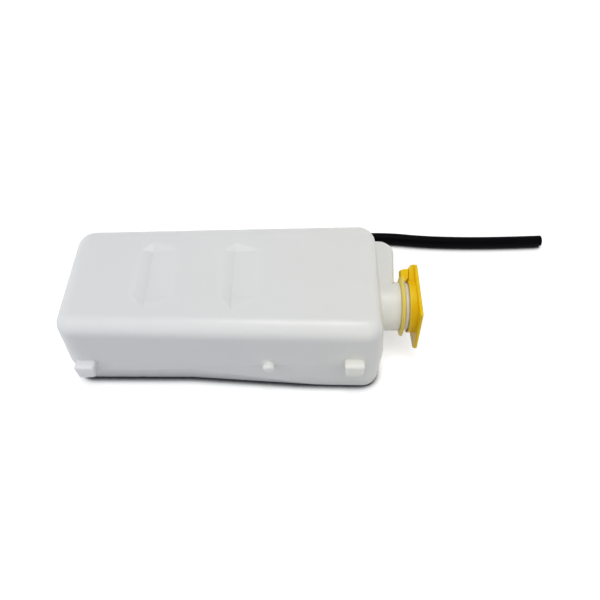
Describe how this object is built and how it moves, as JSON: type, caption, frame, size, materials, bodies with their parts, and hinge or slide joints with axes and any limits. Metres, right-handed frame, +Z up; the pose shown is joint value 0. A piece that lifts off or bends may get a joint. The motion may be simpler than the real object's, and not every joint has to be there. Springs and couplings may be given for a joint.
{
  "type": "coolant reservoir",
  "caption": "Blow-moulded coolant recovery bottle with a side filler neck, tethered snap cap, mounting lugs, level marks and a rubber overflow hose on a barbed outlet.",
  "frame": {"origin": "middle of the underside of the bottle, cap and outlet fittings, on the surface that the bottle lies on", "axes": "+X from the base end towards the filler neck, +Y from the lug side towards the hose side, +Z up from the surface"},
  "size_m": [0.5196, 0.2242, 0.097],
  "materials": {
    "tank_plastic": "milky translucent natural polyethylene, satin",
    "cap_plastic": "yellow moulded polypropylene",
    "seal_rubber": "matt black rubber",
    "elbow_plastic": "black moulded nylon",
    "clamp_steel": "spring steel band",
    "hose_rubber": "smooth black rubber with a soft sheen"
  },
  "bodies": {
    "tank": {"tank_body": "tank_plastic", "outlet_grommet": "seal_rubber", "outlet_elbow": "elbow_plastic", "hose_clamp": "clamp_steel", "overflow_hose": "hose_rubber"},
    "ring": {"cap_tether_ring": "cap_plastic"},
    "lid": {"cap_lid": "cap_plastic", "cap_seal": "seal_rubber"}
  },
  "joints": [
    {"name": "cap_ring_turn", "type": "hinge", "parent": "tank", "child": "ring", "pos_m": [0.159, -0.00611, 0.047], "axis": [1, 0, 0], "continuous": true},
    {"name": "cap_lid_flip", "type": "hinge", "parent": "ring", "child": "lid", "pos_m": [0.16545, 0.02363, 0.07066], "axis": [0, -0.6225, 0.7826], "range_deg": [0, 120]}
  ]
}
